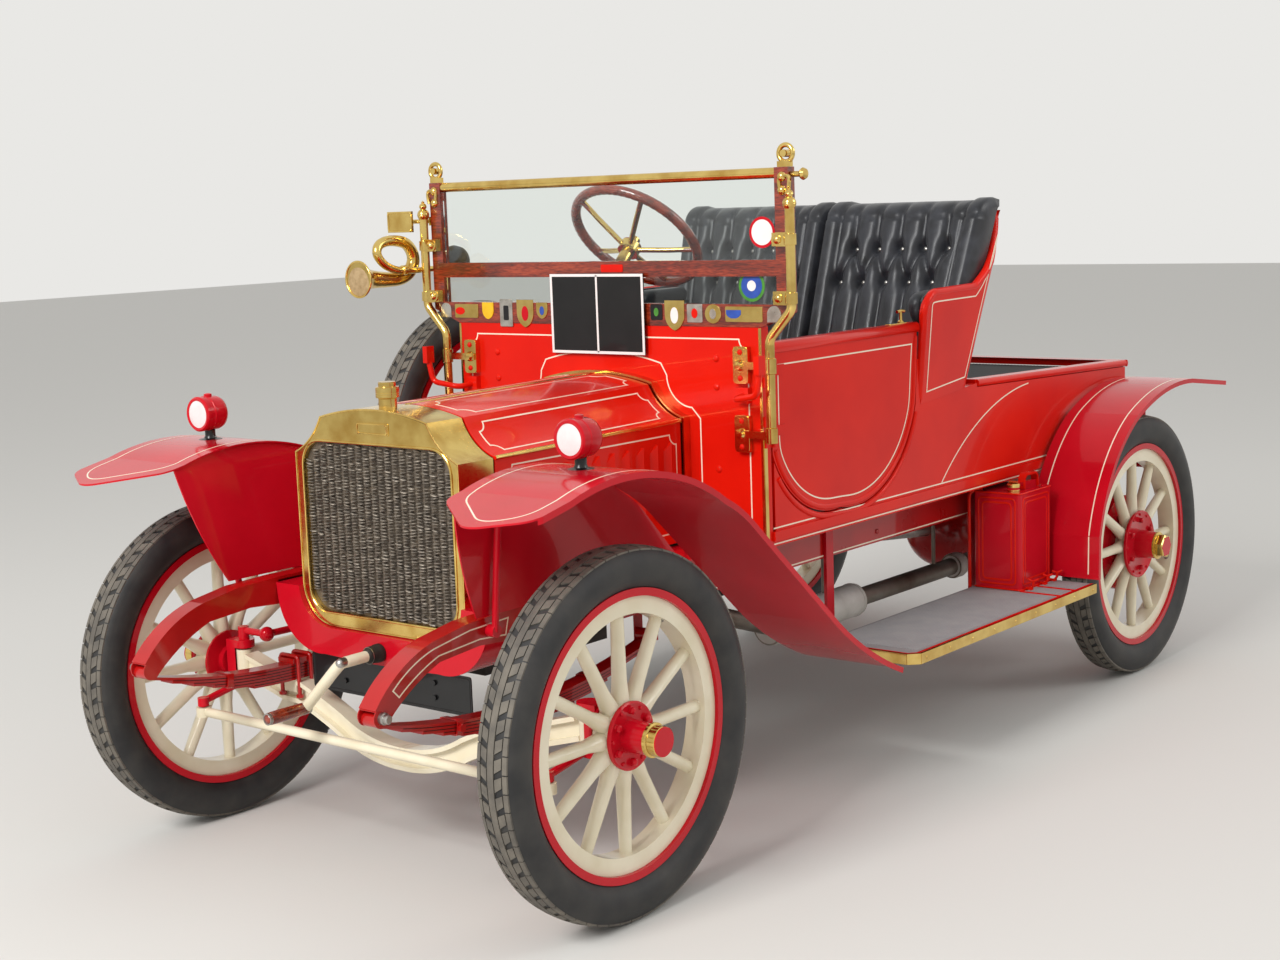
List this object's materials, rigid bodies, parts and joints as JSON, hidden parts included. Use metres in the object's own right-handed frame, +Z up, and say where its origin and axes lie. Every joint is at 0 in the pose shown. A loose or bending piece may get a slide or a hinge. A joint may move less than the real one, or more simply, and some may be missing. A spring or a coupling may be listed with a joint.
{
  "type": "brass era car",
  "caption": "Open two-seater touring car with wooden spoked wheels, brass radiator, windscreen, buttoned bench seat and rear load tray.",
  "frame": {"origin": "on the ground, midway between the car's front and rear ends and its two sides", "axes": "+X to the car's left, +Y to its rear, +Z up"},
  "size_m": [1.566, 3.539, 1.6589],
  "materials": {
    "red_paint": "gloss orange-red coach paint",
    "crimson_paint": "gloss crimson paint",
    "maroon_paint": "gloss dark maroon paint",
    "cream_paint": "gloss cream paint",
    "cream_wood": "cream painted wood",
    "mahogany": "varnished mahogany",
    "brass": "polished",
    "core": "dark finned honeycomb",
    "iron": "dull",
    "steel": "dull",
    "exhaust_steel": "aluminised and heat browned",
    "tyre_rubber": "black with a fine tread",
    "leather": "buttoned black hide",
    "mat": "ribbed black matting",
    "tread": "ribbed grey tread with a brass edge",
    "pane": "clear"
  },
  "bodies": {
    "chassis": {"frame_rails": "maroon_paint", "cross_members": "crimson_paint", "front_axle": "cream_paint", "rear_axle": "maroon_paint", "leaf_springs": "maroon_paint", "engine_block": "iron", "gearbox": "iron", "propeller_shaft": "steel", "exhaust": "exhaust_steel", "radiator_shell": "brass", "bonnet_moulding": "brass", "radiator_core": "core", "dash_board": "red_paint", "windscreen_frame": "mahogany", "windscreen_glass": "pane", "windscreen_brass": "brass", "body_panels": "red_paint", "floor_boards": "mat", "seat_box": "red_paint", "seat_shell": "red_paint", "seat_cushion": "leather", "seat_squab": "leather", "rear_deck": "red_paint", "front_wings": "crimson_paint", "rear_wings": "crimson_paint", "running_boards": "tread", "wing_stays": "crimson_paint", "petrol_can": "crimson_paint", "side_lamps": "crimson_paint", "lamp_brackets": "red_paint", "horn": "brass", "mirror": "brass", "starting_handle": "steel", "driver_controls": "steel", "spare_tyre": "tyre_rubber", "spare_rim": "crimson_paint", "steering_column": "brass"},
    "wheel_front_left": {"tyre_front_left": "tyre_rubber", "wheel_front_left": "cream_wood", "hub_front_left": "crimson_paint"},
    "wheel_front_right": {"tyre_front_right": "tyre_rubber", "wheel_front_right": "cream_wood", "hub_front_right": "crimson_paint"},
    "wheel_rear_left": {"tyre_rear_left": "tyre_rubber", "wheel_rear_left": "cream_wood", "hub_rear_left": "crimson_paint"},
    "wheel_rear_right": {"tyre_rear_right": "tyre_rubber", "wheel_rear_right": "cream_wood", "hub_rear_right": "crimson_paint"},
    "knuckle_left": {"knuckle_left": "crimson_paint"},
    "knuckle_right": {"knuckle_right": "crimson_paint"},
    "track_rod": {"track_rod": "cream_paint"},
    "drag_link": {"drag_link": "crimson_paint"},
    "drop_arm": {"drop_arm": "crimson_paint"},
    "steering_wheel": {"steering_wheel": "mahogany"},
    "door": {"door_left": "red_paint"},
    "bonnet_left": {"bonnet_top_left": "red_paint"},
    "bonnet_right": {"bonnet_top_right": "red_paint"},
    "bonnet_side_left": {"bonnet_side_left": "red_paint"},
    "bonnet_side_right": {"bonnet_side_right": "red_paint"}
  },
  "joints": [
    {"name": "wheel_front_left_spin", "type": "hinge", "parent": "knuckle_left", "child": "wheel_front_left", "pos_m": [0.665, -1.3025, 0.4075], "axis": [1, 0, 0], "continuous": true},
    {"name": "wheel_front_right_spin", "type": "hinge", "parent": "knuckle_right", "child": "wheel_front_right", "pos_m": [-0.665, -1.3025, 0.4075], "axis": [1, 0, 0], "continuous": true},
    {"name": "wheel_rear_left_spin", "type": "hinge", "parent": "chassis", "child": "wheel_rear_left", "pos_m": [0.665, 1.2375, 0.4075], "axis": [1, 0, 0], "continuous": true},
    {"name": "wheel_rear_right_spin", "type": "hinge", "parent": "chassis", "child": "wheel_rear_right", "pos_m": [-0.665, 1.2375, 0.4075], "axis": [1, 0, 0], "continuous": true},
    {"name": "steer_right", "type": "hinge", "parent": "chassis", "child": "knuckle_right", "pos_m": [-0.575, -1.3025, 0.4075], "axis": [0, 0, 1], "range_deg": [-22, 22]},
    {"name": "steer_left", "type": "hinge", "parent": "chassis", "child": "knuckle_left", "pos_m": [0.575, -1.3025, 0.4075], "axis": [0, 0, 1], "range_deg": [-22, 22]},
    {"name": "track_rod_pivot", "type": "hinge", "parent": "knuckle_right", "child": "track_rod", "pos_m": [-0.575, -1.4425, 0.31], "axis": [0, 0, 1], "range_deg": [-22, 22]},
    {"name": "drag_link_pivot", "type": "hinge", "parent": "knuckle_right", "child": "drag_link", "pos_m": [-0.485, -1.3025, 0.49], "axis": [0, 0, 1], "range_deg": [-22, 22]},
    {"name": "drop_arm_pivot", "type": "hinge", "parent": "chassis", "child": "drop_arm", "pos_m": [-0.426, -0.7575, 0.62], "axis": [1, 0, 0], "range_deg": [-16, 16]},
    {"name": "steering_wheel_turn", "type": "hinge", "parent": "chassis", "child": "steering_wheel", "pos_m": [-0.24, -0.0745, 1.432], "axis": [0, 0.7071, 0.7071], "range_deg": [-200, 200]},
    {"name": "door_hinge", "type": "hinge", "parent": "chassis", "child": "door", "pos_m": [0.5175, -0.5, 0.95], "axis": [0, 0, -1], "range_deg": [0, 75]},
    {"name": "bonnet_left_hinge", "type": "hinge", "parent": "chassis", "child": "bonnet_left", "pos_m": [0, -0.9025, 1.086], "axis": [0, -0.9999, -0.0146], "range_deg": [0, 45]},
    {"name": "bonnet_right_hinge", "type": "hinge", "parent": "chassis", "child": "bonnet_right", "pos_m": [0, -0.9025, 1.086], "axis": [0, 0.9999, 0.0146], "range_deg": [0, 45]},
    {"name": "bonnet_side_left_hinge", "type": "hinge", "parent": "bonnet_left", "child": "bonnet_side_left", "pos_m": [0.274, -0.9025, 0.977], "axis": [-0.0089, -0.9999, -0.0148], "range_deg": [-45, 0]},
    {"name": "bonnet_side_right_hinge", "type": "hinge", "parent": "bonnet_right", "child": "bonnet_side_right", "pos_m": [-0.274, -0.9025, 0.977], "axis": [-0.0089, 0.9999, 0.0148], "range_deg": [-45, 0]}
  ],
  "couplings": [
    {"joint": "steer_left", "follows": "steer_right", "ratio": 1},
    {"joint": "track_rod_pivot", "follows": "steer_right", "ratio": -1},
    {"joint": "drag_link_pivot", "follows": "steer_right", "ratio": -1},
    {"joint": "drop_arm_pivot", "follows": "steer_right", "ratio": 0.6923},
    {"joint": "steering_wheel_turn", "follows": "steer_right", "ratio": 9},
    {"joint": "bonnet_side_left_hinge", "follows": "bonnet_left_hinge", "ratio": -1},
    {"joint": "bonnet_side_right_hinge", "follows": "bonnet_right_hinge", "ratio": -1}
  ]
}
